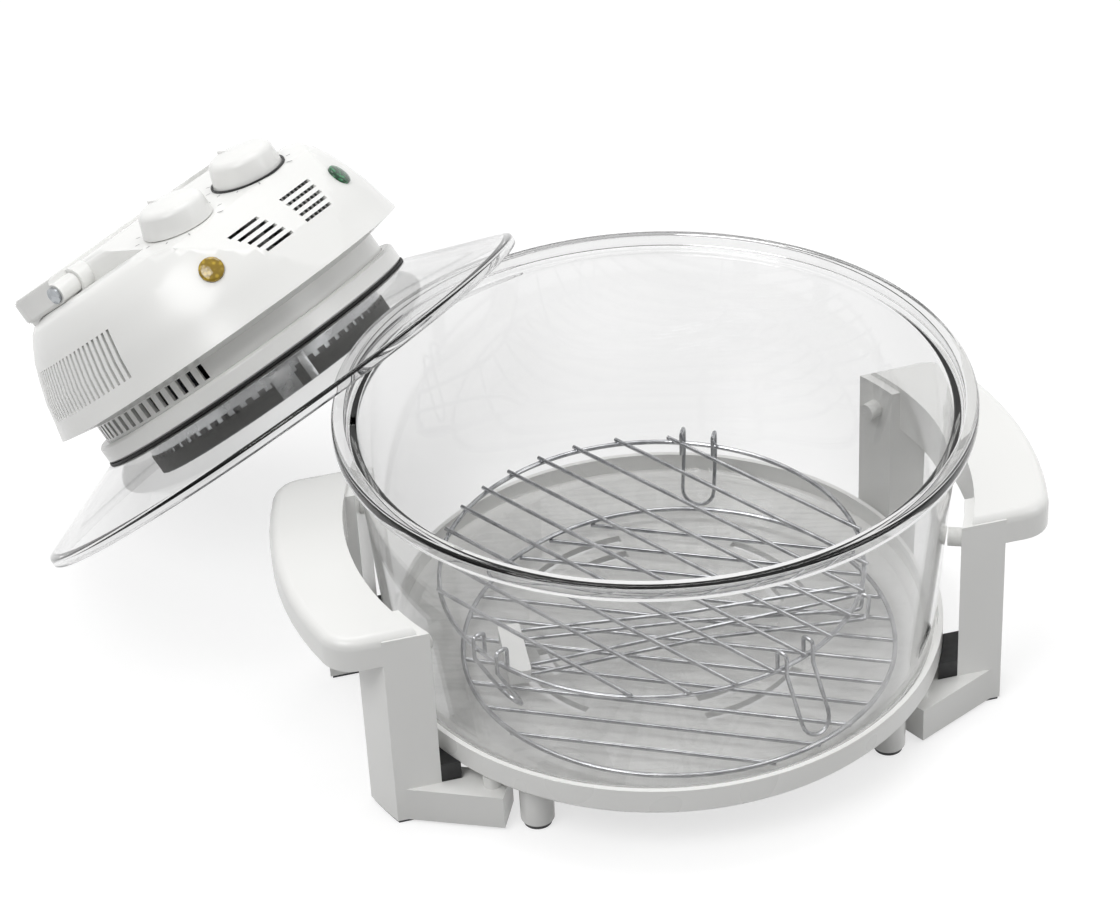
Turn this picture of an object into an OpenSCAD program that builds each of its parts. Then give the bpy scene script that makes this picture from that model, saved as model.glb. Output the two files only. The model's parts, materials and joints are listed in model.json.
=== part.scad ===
// Halogen oven with its lid leaning on the bowl. Millimetres, +Z up, table top at z = 0.

/* [Tray] */
// Gap between the bowl's foot and the tray's rim
tray_play = 1.8; // [1:0.1:3]
// Thickness of the tray's rim
tray_wall = 2.7; // [2:0.1:3]
// Thickness of the tray's floor
tray_floor = 4; // [3:0.5:5]
// Height of the rim above the tray's floor
tray_rim_h = 12; // [8:1:15]
// Height of the tray's underside above the table
tray_z = 29; // [27:1:36]
// Middle radius of the arc slots in the tray
vent_r = 82; // [60:1:100]
// Width of the arc slots
vent_w = 6; // [3:0.5:10]
// Radius of a peg
peg_r = 9; // [7:0.5:11]
// Thickness of the rubber pads
pad_h = 2; // [1:0.5:4]

/* [Handle frames] */
// Half of the opening between a frame's two posts
post_in_y = 53; // [46:1:56]
// Outer face of a post, from the middle plane
post_out_y = 77; // [73:1:80]
// Gap between the bowl's widest wall and a post's inner face
post_gap = 3; // [2:0.5:6]
// Radial depth of a post
post_depth = 22; // [18:1:24]
// Reach of the grip past the posts
grip_over = 22; // [18:1:30]
// Height of the grip's top
grip_top = 122; // [118:1:140]
// Depth of the grip's skirt
skirt_h = 18; // [12:1:22]
// Top of the arch between two posts
arch_top = 95; // [85:1:98]
// Wall of the frame moulding
frame_wall = 3; // [2:0.5:4]
// Corner radius of the grip in plan
grip_corner = 18; // [14:1:22]
// Rounding of the grip's top edge
grip_edge = 6; // [4.5:0.5:8]
// Width of a foot arm
arm_w = 22; // [18:1:24]
// Height of a foot arm's top
arm_top = 22; // [18:1:24]
// Gap between a foot arm's end and the peg
arm_gap = 6; // [3:0.5:10]
// Radius of a bumper
bumper_r = 5; // [3:0.5:7]
// Height of the bumpers
bumper_z = 104; // [100:1:110]

/* [Bowl] */
// Outer radius of the bowl at its base
bowl_foot_r = 147; // [130:0.5:165]
// How much wider the bowl is under its flange
bowl_flare = 11; // [8:0.5:16]
// Width of the flange outside the bowl's wall
flange_w = 9; // [8:0.5:11]
// Thickness of the flange
flange_t = 9; // [8:0.5:12]
// Height of the bowl
bowl_h = 151; // [140:1:165]
// Wall of the bowl
glass_wall = 4; // [3:0.5:5]
// Floor of the bowl
glass_floor = 5; // [4:0.5:7]
// Outer fillet between wall and floor
bowl_fillet = 10; // [8:0.5:14]
// Depth of the seat for the lid
seat_depth = 6; // [4:0.5:7]
// Width of the flange outside the seat
seat_lip = 7; // [5:0.5:8]
// Gap between the lid's rim and its seat
lid_play = 1; // [0.6:0.1:2]

/* [Racks] */
// Radius of the rings' wire
ring_wire = 1.5; // [1.2:0.1:2]
// Radius of the bars' wire
bar_wire = 1.25; // [0.8:0.05:1.4]
// Depth of the welds between wires
weld = 0.4; // [0.2:0.1:0.6]
// Room between the bowl's foot and the low rack's edge
rack_room = 31.5; // [31:0.5:38]
// Turn of the low rack's bars
low_turn = -28.2; // [-30:0.2:-26]
// How much smaller the high rack's radius is
high_less = 1.8; // [0.5:0.1:6]
// Height of the high rack's ring above the bowl's floor
high_h = 39; // [34:1:60]
// Turn of the high rack's bars
high_turn = -58.2; // [-70:0.2:-40]
// Length of a bar past the ring
bar_past = 2.5; // [1:0.5:4]
// Radius of a leg's wire
leg_wire = 1.1; // [0.8:0.1:1.3]
// Length of a leg's hook inside the ring
hook_len = 14; // [8:1:20]

/* [Tongs] */
// Length of the tongs' grip
tong_grip_l = 42; // [36:1:44]
// Width of the tongs' grip
tong_grip_w = 12; // [9:0.5:13]
// Height of the tongs' grip
tong_grip_h = 8; // [6:0.5:9]
// Radius of the tongs' wire
tong_wire = 1.1; // [0.8:0.1:1.5]

/* [Glass lid] */
// Height of the rim
lid_rim_h = 5.4; // [4.5:0.2:7]
// Width of the rim
lid_rim_w = 6; // [5:0.5:8]
// How much wider the cone's top is than the clamp ring
cone_past = 1; // [0.5:0.5:4]
// Height of the glass
lid_glass_h = 28; // [25:0.5:32]
// Radius of the hole in the glass
lid_hole_r = 84; // [82:0.5:88]
// How far up the lid it rests on the bowl, as a share of its radius
lean_share = 0.817913749; // [0.75:0.002:0.86]
// Direction in which the lid lies from the bowl
lean_az = 132.5; // [125:0.5:140]
// Turn of the head about the lid's axis
head_turn = -95; // [-105:1:-85]

/* [Head] */
// Width of the clamp ring outside the neck
clamp_out = 6; // [4:0.5:9]
// Height of the clamp ring
clamp_h = 10.8; // [9:0.2:14]
// Thickness of the seal
seal_h = 1.2; // [0.8:0.1:2]
// Outer radius of the slotted neck
neck_r = 94; // [92:0.5:96]
// Height of the neck above the clamp ring
neck_h = 14; // [12:0.5:18]
// Wall of the head's mouldings
head_wall = 3; // [2:0.25:3.5]
// Radius of the head's lower edge
head_r = 114.5; // [112:0.5:118]
// Height of the head from its lower edge to its shoulder
head_h = 62.5; // [60:0.5:68]
// Rise of the raised panel above the shoulder
panel_rise = 13.5; // [12:0.5:15]
// Half width of the raised panel
panel_x = 56; // [54:0.5:57]
// Slope of the knob panel
panel_slope = 18; // [16:0.5:20]
// Pitch of the slots in the neck, in degrees
neck_pitch = 4.5; // [3.6:0.1:6]
// Width of a slot in the neck
neck_slot = 3.5; // [2:0.1:4.5]
// Pitch of the side grille, in degrees
grille_pitch = 2.25; // [1.8:0.05:3]
// Width of a slot in the side grille
grille_slot = 1.8; // [1:0.1:2.4]

/* [Knobs and lamps] */
// Distance of each knob from the middle
knob_x = 29; // [25:0.5:31]
// Radius of a knob's skirt
knob_r = 20.5; // [18:0.5:22]
// Height of a knob
knob_h = 16; // [12:0.5:20]
// Radius of the knobs' spindles
spindle_r = 3; // [2.5:0.1:4]
// Radius of a lamp lens
lens_r = 7; // [5:0.2:8]
// Place of the lenses round the head
lens_az = 30.4; // [28:0.2:34]

/* [Carry handle] */
// Middle of each handle arm, from the middle plane
handle_x = 72; // [71:0.5:74]
// Width of the handle
handle_w = 14; // [10:0.5:14]
// Thickness of the handle
handle_t = 15; // [12:0.5:16]
// Reach of the handle behind its pins
handle_reach = 56; // [55:0.5:62]
// Outer corner radius of the handle
handle_corner = 22; // [18:0.5:24]
// Radius of the handle's pins
pin_r = 3; // [2:0.1:4]
// Travel of the safety plunger
plunger_travel = 3; // [2:0.1:4]

/* [Works] */
// Radius of the reflector pan
pan_r = 78; // [75:0.5:80]
// Radius of the lamp's ring
lamp_ring_r = 60; // [56:0.5:62]
// Radius of the lamp's tube
lamp_tube_r = 5; // [4:0.2:6]
// Radius of the fans' shaft
shaft_r = 3; // [2.5:0.1:4]
// Radius of the stirring fan
stir_r = 44; // [36:0.5:48]
// Radius of the cooling fan
cool_r = 74; // [60:0.5:80]
// Radius of the motor
motor_r = 28; // [24:0.5:32]

/* [Fits] */
// Running clearance of shafts and pins
run_fit = 0.05; // [0.02:0.01:0.09]
// Gap between loose parts
gap = 0.4; // [0.3:0.05:0.6]

/* [Hidden] */
$fn = 96;

tray_top = tray_z + tray_floor;
rim_z = tray_top + bowl_h;
bowl_top_r = bowl_foot_r + bowl_flare;
flange_r = bowl_top_r + flange_w;
tray_r = bowl_foot_r + tray_play + tray_wall;
peg_offset = tray_r * 64 / 101;
post_r0 = bowl_top_r + post_gap;
post_r1 = post_r0 + post_depth;
panel_in = 5;
panel_r0 = post_r0 + panel_in;
grip_r = post_r1 + grip_over;
inner_floor = tray_top + glass_floor;
flange_z = rim_z - flange_t;
rim_round = 2.5;
seat_r = flange_r - seat_lip;
seat_z = rim_z - seat_depth;
lid_r = seat_r - lid_play;

// The racks and the tongs were laid out for a low rack of 115.5, and the layout grows with it
low_r = bowl_foot_r - rack_room;
grow = low_r / 115.5;
low_pitch = 18.5 * grow;
low_c = [3.6, -20] * grow;
low_bar_z = inner_floor + gap + bar_wire;
low_ring_z = low_bar_z + bar_wire + ring_wire - weld;
high_r = low_r - high_less;
high_pitch = 20.4 * grow;
high_c = [-4.5, 1.2] * grow;
leg_r = 9 * grow;
tong_reach = 196 * grow;
high_ring_z = inner_floor + high_h;
high_bar_z = high_ring_z + ring_wire + bar_wire - weld;
// Each leg of the high rack: direction, and distance of its foot from the rack's middle
LEGS = [[60, 108 * grow], [-65.5, 130.5 * grow], [-153, 98.5 * grow]];

lid_inner_r = lid_r - lid_rim_w;
clamp_r = neck_r + clamp_out;
cone_top_r = clamp_r + cone_past;
lean_in = rim_round * (1 - cos(45));
lean = asin((rim_z - lean_in + gap / 2) / (1 + lean_share) / lid_r);
lid_z = lid_r * sin(lean);
lean_l = (rim_z - lean_in + gap / 2 - lid_z) / sin(lean);
lean_half = sqrt(pow(lid_inner_r, 2) - pow(lean_l, 2));
lid_d = sqrt(pow(flange_r - lean_in, 2) - pow(lean_half, 2)) + lean_l * cos(lean);
lid_x = lid_d * cos(lean_az);
lid_y = lid_d * sin(lean_az);
lid_n = [sin(lean) * cos(lean_az), sin(lean) * sin(lean_az), cos(lean)];
foot_x0 = lid_x + lid_n[0] * lid_rim_h - lid_r * sqrt(1 - pow(lid_n[0], 2));
foot_y1 = lid_y + lid_n[1] * lid_rim_h + lid_r * sqrt(1 - pow(lid_n[1], 2));
foot_x = (foot_x0 + grip_r) / 2;
foot_y = (foot_y1 - flange_r) / 2;

clamp_z = lid_glass_h + seal_h;
clamp_top = clamp_z + clamp_h;
web_t = 2.5;
web_top = clamp_z + web_t;
neck_top = clamp_top + neck_h;
plate_t = 2;
plate_top = neck_top + plate_t;
edge_z = neck_top + 1;
shoulder_z = edge_z + head_h;
panel_z = shoulder_z + panel_rise;
pivot_y = 6;
pivot_z = shoulder_z + 6.5;
handle_z0 = shoulder_z + 0.5;
knob_y = -56;
knob_z = panel_z - 14;
knob_n = [0, -sin(panel_slope), cos(panel_slope)];
pan_plate_t = 1.2;
pan_top = lid_glass_h - 0.5;
pan_bottom = 6;
guard_t = 1;
lamp_z = 14;

function unit(v) = v / norm(v);
function arc(c, r, a0, a1, n = 8) = [for (k = [0:n]) c + r * [cos(a0 + (a1 - a0) * k / n), sin(a0 + (a1 - a0) * k / n)]];
function bowl_r_at(z) = bowl_foot_r + (bowl_top_r - bowl_foot_r) * (z - tray_top - bowl_fillet) / (flange_z - tray_top - bowl_fillet);

// An arc of radius r in place of the corner b of a wire's path
function bend(a, b, c, r, n) =
    let (u = unit(a - b), v = unit(c - b), half = acos(u * v) / 2)
    let (o = b + unit(u + v) * r / sin(half), s = b + u * r / tan(half) - o, e = b + v * r / tan(half) - o)
    [for (k = [0:n]) o + (s * sin((180 - 2 * half) * (1 - k / n)) + e * sin((180 - 2 * half) * k / n)) / sin(2 * half)];
function bent(p, r, n = 4) = [p[0], for (i = [1:len(p) - 2]) each bend(p[i - 1], p[i], p[i + 1], r[i - 1], n), p[len(p) - 1]];

// A wire along a path that lies in one plane with the normal up
module wire(path, r, up = [0, 0, 1], sides = 8) {
    last = len(path) - 1;
    rings = [for (i = [0:last])
        let (t = unit(path[min(i + 1, last)] - path[max(i - 1, 0)]), side = unit(cross(t, up)), top = cross(side, t))
        for (k = [0:sides - 1]) path[i] + r * (cos(360 * k / sides) * side + sin(360 * k / sides) * top)];
    walls = [for (i = [0:last - 1], k = [0:sides - 1], f = [0, 1])
        let (a = i * sides + k, b = i * sides + (k + 1) % sides)
        f == 0 ? [a, b, b + sides] : [a, b + sides, a + sides]];
    caps = [[for (k = [sides - 1:-1:0]) k], [for (k = [0:sides - 1]) last * sides + k]];
    polyhedron(rings, concat(walls, caps));
}

module at_home() {
    translate([-foot_x, -foot_y, 0]) children();
}

module on_lid() {
    at_home() translate([lid_x, lid_y, lid_z]) rotate([0, 0, lean_az]) rotate([0, lean, 0])
        rotate([0, 0, head_turn]) children();
}

module corners(x, y) {
    for (sx = [-1, 1], sy = [-1, 1]) translate([sx * x, sy * y, 0]) children();
}

// Stand

screw_r = 2;
boss_r = 5;
head_screw_r = 4;
head_screw_h = 2.5;
arm_from = [post_r0 - 3, post_out_y - arm_w / 2];
arm_angle = atan2(peg_offset - arm_from[1], peg_offset - arm_from[0]);
arm_len = norm([peg_offset, peg_offset] - arm_from) - peg_r - arm_gap;
screw_at = arm_from + (arm_len - frame_wall - head_screw_r - 0.8) * [cos(arm_angle), sin(arm_angle)];

module base_tray() {
    color("white") at_home() difference() {
        rotate_extrude() polygon([[0, tray_z], [tray_r - 2.5, tray_z], [tray_r, tray_z + 3], [tray_r, tray_top + tray_rim_h],
            [tray_r - tray_wall, tray_top + tray_rim_h], [tray_r - tray_wall, tray_top], [0, tray_top]]);
        for (a = [0:90:270]) {
            rotate([0, 0, a]) rotate_extrude(angle = 45)
                translate([vent_r - vent_w / 2, tray_z - 1]) square([vent_w, tray_floor + 2]);
            rotate([0, 0, a]) rotate_extrude(angle = 20)
                translate([vent_r - 15 - vent_w / 2, tray_z - 1]) square([vent_w, tray_floor + 2]);
        }
        corners(screw_at[0], screw_at[1]) translate([0, 0, tray_z - 1]) cylinder(r = screw_r + run_fit, h = tray_floor - 0.5 + 1);
    }
}

module peg_feet() {
    color("white") at_home() corners(peg_offset, peg_offset) translate([0, 0, pad_h]) rotate_extrude()
        polygon([[0, 0], [peg_r - 1, 0], [peg_r, 1], [peg_r, tray_z - pad_h], [0, tray_z - pad_h]]);
}

module post_outline(inset) {
    difference() {
        intersection() {
            circle(r = post_r1 - inset);
            translate([0, post_in_y + inset]) square([post_r1, post_out_y - post_in_y - 2 * inset]);
        }
        circle(r = post_r0 + inset);
    }
}

module foot_pads() {
    color("dimgray") at_home() {
        corners(peg_offset, peg_offset) cylinder(r = peg_r - 1.5, h = pad_h);
        for (m = [0, 1], n = [0, 1]) mirror([m, 0, 0]) mirror([0, n, 0]) {
            linear_extrude(pad_h) post_outline(1);
            linear_extrude(pad_h + 6) post_outline(frame_wall + run_fit);
        }
    }
}

// Plan of the grip, drawn in by an inset
module grip_plan(inset) {
    cy = post_out_y - grip_corner;
    cx = sqrt(pow(grip_r - grip_corner, 2) - cy * cy);
    difference() {
        union() {
            intersection() {
                circle(r = grip_r - inset);
                polygon([[0, 0], 2 * [cx, -cy], 2 * [grip_r, 0], 2 * [cx, cy]]);
            }
            for (s = [-1, 1]) translate([cx, s * cy]) circle(r = grip_corner - inset);
            translate([0, -post_out_y + inset]) square([cx, 2 * (post_out_y - inset)]);
        }
        circle(r = panel_r0);
    }
}

// Section of the grip with its rounded edge, from the radius inner to the radius r
module edge_section(r, inner) {
    low = grip_top - skirt_h;
    polygon(concat([[inner, low], [inner, grip_top]], arc([r - grip_edge, grip_top - grip_edge], grip_edge, 90, 0, 5), [[r, low]]));
}

module grip() {
    cy = post_out_y - grip_corner;
    cx = sqrt(pow(grip_r - grip_corner, 2) - cy * cy);
    a = atan2(cy, cx);
    grip_back = cx - 0.55 * panel_r0;
    difference() {
        hull() {
            rotate([0, 0, -a]) rotate_extrude(angle = 2 * a) edge_section(grip_r, grip_r - grip_corner);
            for (s = [-1, 1]) translate([cx, s * cy, 0]) rotate_extrude($fn = 32) edge_section(grip_corner, 0);
            for (s = [-1, 1]) translate([cx - grip_back, s * cy, 0]) rotate_extrude($fn = 32) edge_section(grip_corner, 0);
        }
        translate([0, 0, grip_top - skirt_h - 1]) cylinder(r = panel_r0, h = skirt_h + 2);
        translate([0, 0, grip_top - skirt_h - 1]) linear_extrude(skirt_h + 1 - frame_wall) grip_plan(frame_wall);
    }
}

module foot_arm() {
    translate([arm_from[0], arm_from[1], pad_h]) rotate([0, 0, arm_angle]) difference() {
        translate([0, -arm_w / 2, 0]) cube([arm_len, arm_w, arm_top - pad_h]);
        translate([-1, -arm_w / 2 + frame_wall, -1])
            cube([arm_len - frame_wall + 1, arm_w - 2 * frame_wall, arm_top - pad_h - frame_wall + 1]);
    }
}

module handle_frame() {
    difference() {
        union() {
            for (n = [0, 1]) mirror([0, n, 0]) {
                translate([0, 0, pad_h]) linear_extrude(grip_top - frame_wall - pad_h) post_outline(0);
                difference() {
                    foot_arm();
                    linear_extrude(grip_top) post_outline(frame_wall / 2);
                }
                translate([screw_at[0], screw_at[1], arm_top - frame_wall])
                    cylinder(r = boss_r, h = tray_z - arm_top + frame_wall);
            }
            intersection() {
                rotate([0, 0, -30]) rotate_extrude(angle = 60) translate([panel_r0, arch_top])
                    square([frame_wall, grip_top - arch_top - frame_wall / 2]);
                translate([0, -post_in_y - 1, 0]) cube([grip_r, 2 * post_in_y + 2, grip_top]);
            }
            grip();
        }
        for (n = [0, 1]) mirror([0, n, 0]) {
            linear_extrude(grip_top - 2 * frame_wall) post_outline(frame_wall);
            translate([screw_at[0], screw_at[1], 0]) cylinder(r = screw_r + run_fit, h = tray_z + 1);
        }
    }
}

module right_handle_frame() {
    color("white") at_home() handle_frame();
}

module left_handle_frame() {
    color("white") at_home() mirror([1, 0, 0]) handle_frame();
}

module post_bumpers() {
    a = asin((post_in_y + post_out_y) / 2 / post_r0);
    tip = bowl_r_at(bumper_z + bumper_r) + gap;
    color("whitesmoke") at_home() for (b = [a, -a, 180 + a, 180 - a])
        rotate([0, 0, b]) translate([0, 0, bumper_z]) difference() {
            rotate([0, 90, 0]) cylinder(r = bumper_r, h = post_r0 + 1);
            translate([0, 0, -bumper_r - 1]) cylinder(r = tip, h = 2 * bumper_r + 2);
            difference() {
                translate([0, 0, -bumper_r - 2]) cylinder(r = 2 * post_r0, h = 2 * bumper_r + 4);
                translate([0, 0, -bumper_r - 3]) cylinder(r = post_r0, h = 2 * bumper_r + 6);
            }
        }
}

module tray_spacers() {
    color([0.1, 0.1, 0.1]) at_home() for (m = [0, 1], n = [0, 1]) mirror([m, 0, 0]) mirror([0, n, 0])
        translate([0, 0, arm_top]) linear_extrude(tray_top - arm_top) difference() {
            intersection() {
                circle(r = post_r0);
                translate([0, post_in_y]) square([post_r0, post_out_y - post_in_y]);
            }
            circle(r = tray_r);
        }
}

module frame_screws() {
    color("silver") at_home() corners(screw_at[0], screw_at[1]) {
        translate([0, 0, arm_top - frame_wall - head_screw_h]) cylinder(r = head_screw_r, h = head_screw_h);
        translate([0, 0, arm_top - frame_wall]) cylinder(r = screw_r, h = tray_z + tray_floor - 0.7 - arm_top + frame_wall);
    }
}

// Bowl and what lies in it

module glass_bowl() {
    f = bowl_fillet;
    fi = bowl_fillet - glass_wall;
    color([0.85, 0.9, 0.92, 0.35]) at_home() rotate_extrude() polygon(concat(
        [[0, tray_top]], arc([bowl_foot_r - f, tray_top + f], f, -90, 0),
        [[bowl_top_r - 0.3, flange_z - 3]], arc([bowl_top_r + 2.7, flange_z - 3], 3, 180, 90, 4),
        arc([flange_r - 2, flange_z + 2], 2, -90, 0, 4), arc([flange_r - rim_round, rim_z - rim_round], rim_round, 0, 90, 4),
        [[seat_r, rim_z], [seat_r, seat_z], [bowl_top_r - glass_wall, seat_z]],
        arc([bowl_foot_r - glass_wall - fi, inner_floor + fi], fi, 0, -90), [[0, inner_floor]]));
}

module low_rack() {
    count = floor((low_r - 15) / low_pitch);
    color("silver") at_home() translate([low_c[0], low_c[1], 0]) rotate([0, 0, low_turn]) {
        translate([0, 0, low_ring_z]) rotate_extrude() translate([low_r, 0]) circle(r = ring_wire);
        for (k = [-count:count]) {
            half = sqrt(pow(low_r, 2) - pow(k * low_pitch, 2));
            translate([-half, k * low_pitch, low_bar_z]) rotate([0, 90, 0]) cylinder(r = bar_wire, h = 2 * half, $fn = 48);
        }
    }
}

tong_at = [-84.5, -11.5] * grow;
tong_turn = -94.7;
tong_z = low_bar_z + bar_wire + gap;

// Tongs' own frame: x along the grip, y towards the arms' far ends
module on_tongs() {
    at_home() translate([tong_at[0], tong_at[1], tong_z]) rotate([0, 0, tong_turn]) children();
}

module tongs_grip() {
    color("white") on_tongs() difference() {
        union() {
            translate([-tong_grip_l / 2 + 2, -tong_grip_w / 2, 0]) cube([tong_grip_l - 4, tong_grip_w, tong_grip_h]);
            for (s = [-1, 1], t = [-1, 1]) translate([s * (tong_grip_l / 2 - 2), t * (tong_grip_w / 2 - 2), 0])
                cylinder(r = 2, h = tong_grip_h);
            for (s = [-1, 1]) translate([s * (tong_grip_l / 2 - 1) - 1, 2 - tong_grip_w / 2, 0])
                cube([2, tong_grip_w - 4, tong_grip_h]);
        }
        for (s = [-1, 1]) translate([s * (tong_grip_l / 2 - 6), tong_grip_w / 2 - 6, tong_grip_h / 2])
            for (t = [-4, 4]) translate([t, 0, 0]) rotate([-90, 0, 0]) cylinder(r = tong_wire + 0.05, h = 7, $fn = 32);
    }
}

module tongs_wires() {
    y0 = tong_grip_w / 2 - 5.5;
    z = tong_grip_h / 2;
    color("silver") on_tongs() {
        for (s = [-1, 1]) {
            x = s * (tong_grip_l / 2 - 6);
            lift = s < 0 ? 0 : 2.6 * tong_wire;
            mid = tong_reach / 2;
            wire(bent([[x - 4, y0, z], [x - 4, y0 + 10, z], [x - 4 - s * 5, mid, z + lift], [x - 10 - s * 9, tong_reach, z + lift],
                [x + 12 - s * 9, tong_reach - 8, z + lift], [x + 4 - s * 5, mid, z + lift], [x + 4, y0 + 10, z], [x + 4, y0, z]],
                [6, 20, 4, 4, 20, 6], 3), tong_wire);
        }
    }
}

module high_rack_grid() {
    color("silver") at_home() translate([high_c[0], high_c[1], 0]) rotate([0, 0, high_turn]) {
        translate([0, 0, high_ring_z]) rotate_extrude() translate([high_r, 0]) circle(r = ring_wire);
        count = floor((high_r - 12) / high_pitch - 0.5);
        for (s = [-1, 1], k = [0:count]) {
            y = s * (k + 0.5) * high_pitch;
            half = sqrt(pow(high_r, 2) - pow(y, 2)) + bar_past;
            translate([-half, y, high_bar_z]) rotate([0, 90, 0]) cylinder(r = bar_wire, h = 2 * half, $fn = 48);
        }
    }
}

// A leg hangs over the ring by two hooks and stands on a round foot
module rack_leg(az, foot_r) {
    w = leg_r;
    top = high_bar_z + bar_wire + 2 * leg_wire + 3;
    outside = high_r + ring_wire + leg_wire - 0.3;
    inside = high_r - ring_wire - leg_wire - 2;
    foot_z = inner_floor + gap + leg_wire;
    knee_z = high_ring_z - 4;
    splay = unit([foot_r - outside, 0, foot_z - knee_z]);
    low = norm([foot_r - outside, foot_z - knee_z]);
    normal = cross(splay, [0, 1, 0]);
    rotate([0, 0, az]) {
        knee = [outside, 0, knee_z];
        foot = [for (k = [0:10]) knee + splay * (low - w + w * sin(18 * k)) + [0, w * cos(18 * k), 0]];
        wire(concat([knee + [0, w, 0]], foot, [knee - [0, w, 0]]), leg_wire, normal);
        for (s = [-1, 1]) wire(bent([[outside, s * w, knee_z - 0.5], [outside, s * w, top], [inside, s * w, top],
            [inside, s * w, top - hook_len]], [2, 2], 4), leg_wire, [0, 1, 0]);
    }
}

module high_rack_legs() {
    color("silver") at_home() translate([high_c[0], high_c[1], 0]) for (l = LEGS) rack_leg(l[0], l[1]);
}

// Lid, in its own frame: +Z out of the glass, front towards -Y

module glass_lid() {
    slope = (lid_glass_h - lid_rim_h) / (lid_r - cone_top_r);
    drop = glass_wall * sqrt(1 + slope * slope);
    color([0.8, 0.85, 0.87, 0.4]) on_lid() rotate_extrude() polygon(concat(
        [[lid_inner_r, 0], [lid_r - 1, 0], [lid_r, 1], [lid_r, lid_rim_h - 1], [lid_r - 1.5, lid_rim_h + 0.6],
        [cone_top_r, lid_glass_h], [lid_hole_r, lid_glass_h], [lid_hole_r, lid_glass_h - glass_wall],
        [lid_r - (lid_glass_h - glass_wall - lid_rim_h + drop) / slope, lid_glass_h - glass_wall],
        [lid_inner_r, lid_rim_h + slope * lid_rim_w - drop]]));
}

module lid_seal() {
    color([0.08, 0.08, 0.08]) on_lid() translate([0, 0, lid_glass_h]) difference() {
        cylinder(r = clamp_r + 0.5, h = seal_h);
        translate([0, 0, -1]) cylinder(r = lid_hole_r + 1, h = seal_h + 2);
    }
}

SCREW_RING = [45:90:315];
COVER_SCREWS = [0:90:270];
clamp_screw_r = 60;

module clamp_ring() {
    color("white") on_lid() difference() {
        union() {
            rotate_extrude() polygon([[10, clamp_z], [clamp_r - 1.2, clamp_z], [clamp_r, clamp_z + 1.2],
                [clamp_r, clamp_top - 1.5], [clamp_r - 1.5, clamp_top], [neck_r + run_fit, clamp_top],
                [neck_r + run_fit, web_top], [10, web_top]]);
            for (a = SCREW_RING) rotate([0, 0, a]) translate([clamp_screw_r, 0, pan_top])
                cylinder(r = boss_r, h = clamp_z - pan_top + web_t);
        }
        for (a = SCREW_RING) rotate([0, 0, a]) translate([clamp_screw_r, 0, pan_top - 1])
            cylinder(r = screw_r + run_fit, h = 8);
    }
}

module clamp_screws() {
    color("silver") on_lid() for (a = SCREW_RING) rotate([0, 0, a]) translate([clamp_screw_r, 0, 0]) {
        translate([0, 0, pan_top - pan_plate_t - 1.6]) cylinder(r = 3.6, h = 1.6);
        translate([0, 0, pan_top - pan_plate_t]) cylinder(r = screw_r, h = web_top + 1 - pan_top + pan_plate_t);
    }
}

neck_plain = 51;
neck_screw_r = neck_r - head_wall - boss_r + 1;

module neck_ring() {
    count = floor((360 - 2 * neck_plain) / neck_pitch);
    color("white") on_lid() difference() {
        union() {
            rotate_extrude() polygon([[neck_r - head_wall, web_top], [neck_r, web_top], [neck_r, neck_top],
                [neck_r - head_wall, neck_top]]);
            for (a = SCREW_RING) rotate([0, 0, a]) translate([neck_screw_r, 0, web_top]) rotate([0, 0, 180])
                cylinder(r = boss_r, h = neck_top - web_top);
        }
        for (k = [0:count]) rotate([0, 0, -90 + 180 + (k - count / 2) * neck_pitch])
            translate([neck_r - head_wall - 1, -neck_slot / 2, clamp_top + 1.5])
                cube([head_wall + 2, neck_slot, neck_h - 5]);
        for (a = SCREW_RING) rotate([0, 0, a]) translate([neck_screw_r, 0, neck_top - 12])
            cylinder(r = screw_r + run_fit, h = 13);
    }
}

cover_screw_r = 68;

module base_plate() {
    color("silver") on_lid() difference() {
        union() {
            translate([0, 0, neck_top]) cylinder(r = neck_r + 3.5, h = plate_t);
            translate([handle_x - 5, 24, plate_top - 0.5]) cube([8, 12, switch_z - plate_top + 0.5]);
        }
        translate([0, 0, neck_top - 1]) cylinder(r = 8, h = plate_t + 2);
        for (a = SCREW_RING) rotate([0, 0, a]) translate([neck_screw_r, 0, neck_top - 1])
            cylinder(r = screw_r + run_fit, h = plate_t + 2);
        for (a = COVER_SCREWS) rotate([0, 0, a]) translate([cover_screw_r, 0, neck_top - 1])
            cylinder(r = screw_r + run_fit, h = plate_t + 2);
    }
}

// Half section of the dome, drawn in by an inset
function dome(t) = [
    [head_r - t, edge_z + t], [head_r - 2.5 - t, edge_z + 10], [head_r - 5 - t, edge_z + 22],
    [head_r - 9.5 - t, edge_z + 35], [head_r - 13 - t, edge_z + 44], [head_r - 17.5 - t, edge_z + 52 - t * 0.3],
    [head_r - 21 - t, edge_z + 57.5 - t * 0.6], [head_r - 24.5 - t, shoulder_z - 2 - t], [head_r - 31, shoulder_z - t],
    [0, shoulder_z - t]];

// Side section through the front slope and the raised panel
function slope_z(y, t) = knob_z + (y - knob_y) * tan(panel_slope) - t / cos(panel_slope);
function slope_y(z, t) = knob_y + (z + t / cos(panel_slope) - knob_z) / tan(panel_slope);
panel_back = pivot_y + handle_reach - handle_w - 2;
function front(t) = [
    [-head_r + t, edge_z + t], [-head_r + 2.5 + t, edge_z + 7], [-head_r + 8.7 + t, edge_z + 24.5],
    [-head_r + 14.5 + t, edge_z + 33], [-head_r + 21.5 + t, edge_z + 41], [-head_r + 29.5 + t, edge_z + 48.5 - t * 0.5],
    [-head_r + 38.5 + t * 0.5, slope_z(-head_r + 38.5 + t * 0.5, t)]];

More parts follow.
